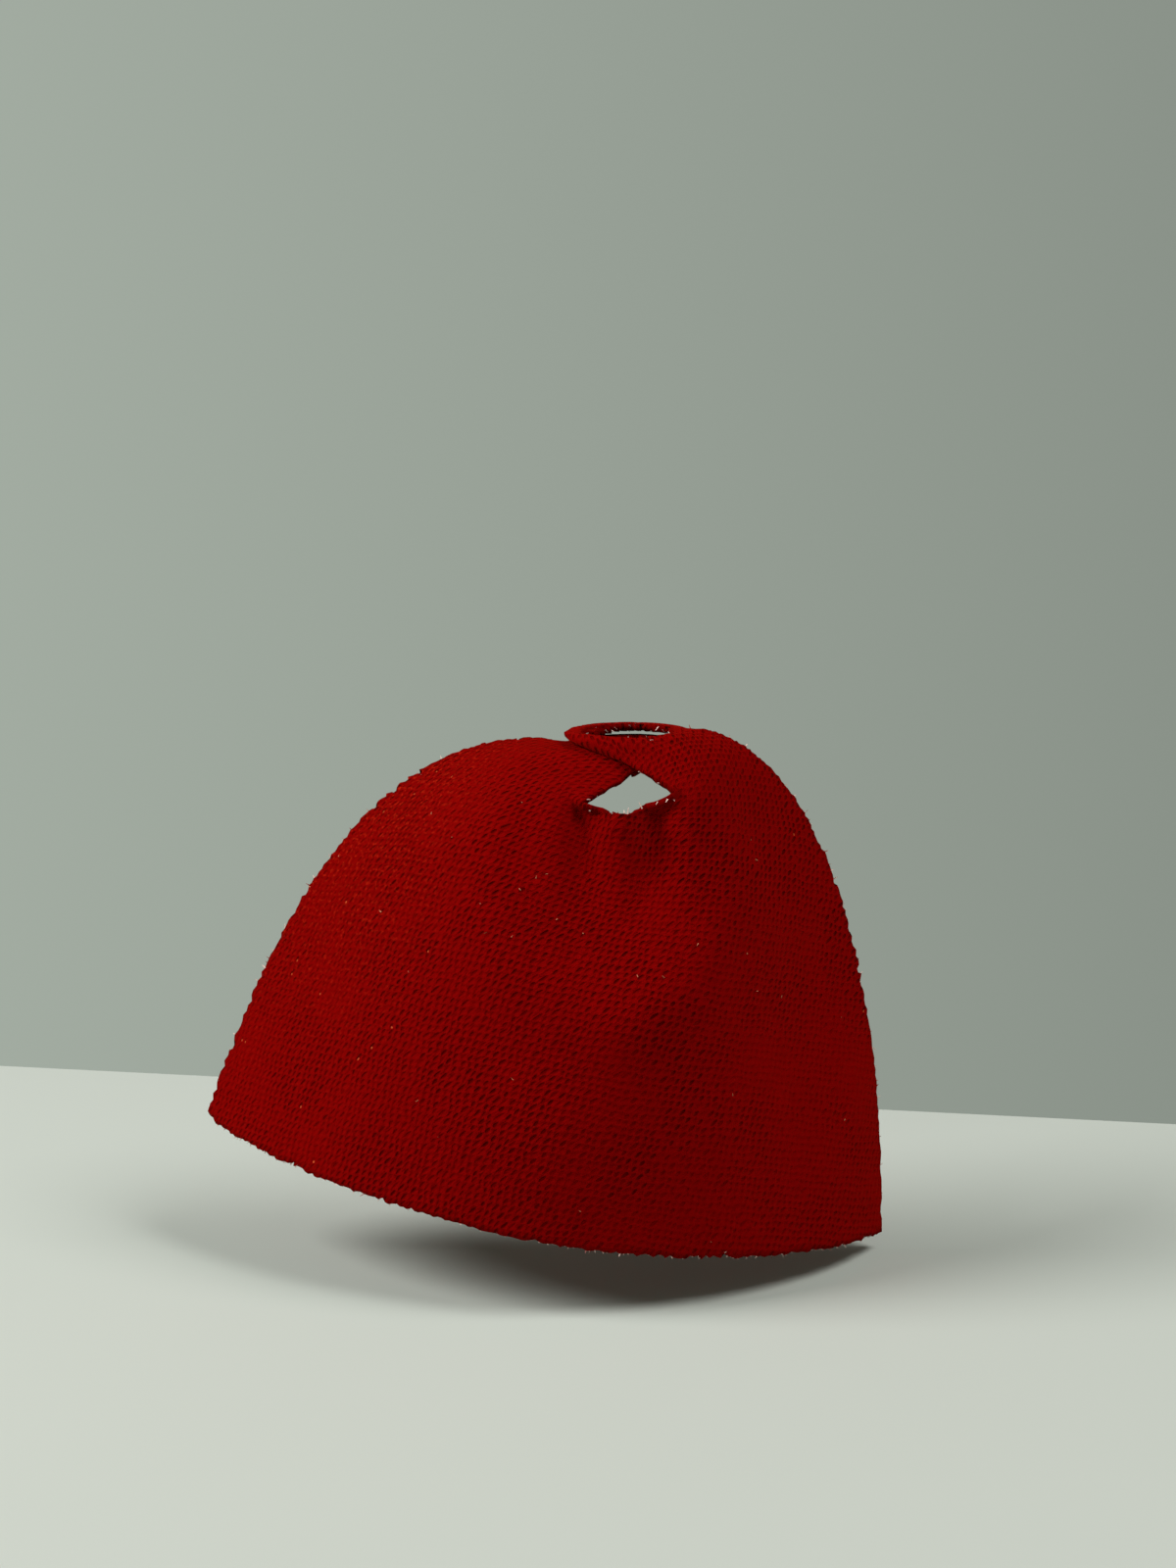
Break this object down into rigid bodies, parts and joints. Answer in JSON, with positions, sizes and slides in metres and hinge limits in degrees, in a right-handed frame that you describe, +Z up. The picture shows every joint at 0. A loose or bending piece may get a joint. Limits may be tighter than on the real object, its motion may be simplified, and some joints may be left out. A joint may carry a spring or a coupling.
{
  "type": "toy figure superhero cape",
  "caption": "Short knitted-cloth cape for a toy figure: two neck tabs on one neck post, a shoulder yoke and a hanging back skirt that lifts.",
  "frame": {"origin": "centre of the punched neck holes, on the underside of the lower neck tab, where it rests on the wearer's torso", "axes": "+Z up along the neck post, +Y the way the wearer faces, +X to the wearer's right; the cape's outside faces -Y"},
  "size_m": [0.0392, 0.0169, 0.0289],
  "materials": {
    "tab_cloth": "red polyester knit, matt with a faint sheen, bare die-cut edge",
    "yoke_cloth": "red polyester knit, matt with a faint sheen, bare die-cut edge",
    "skirt_cloth": "red polyester knit, matt with a faint sheen, bare die-cut edge"
  },
  "bodies": {
    "collar": {"left_neck_tab": "tab_cloth", "right_neck_tab": "tab_cloth", "shoulder_yoke": "yoke_cloth"},
    "skirt": {"back_skirt": "skirt_cloth"}
  },
  "joints": [
    {"name": "skirt_lift", "type": "hinge", "parent": "collar", "child": "skirt", "pos_m": [0, -0.0065, -0.0085], "axis": [-1, 0, 0], "range_deg": [0, 60]}
  ]
}
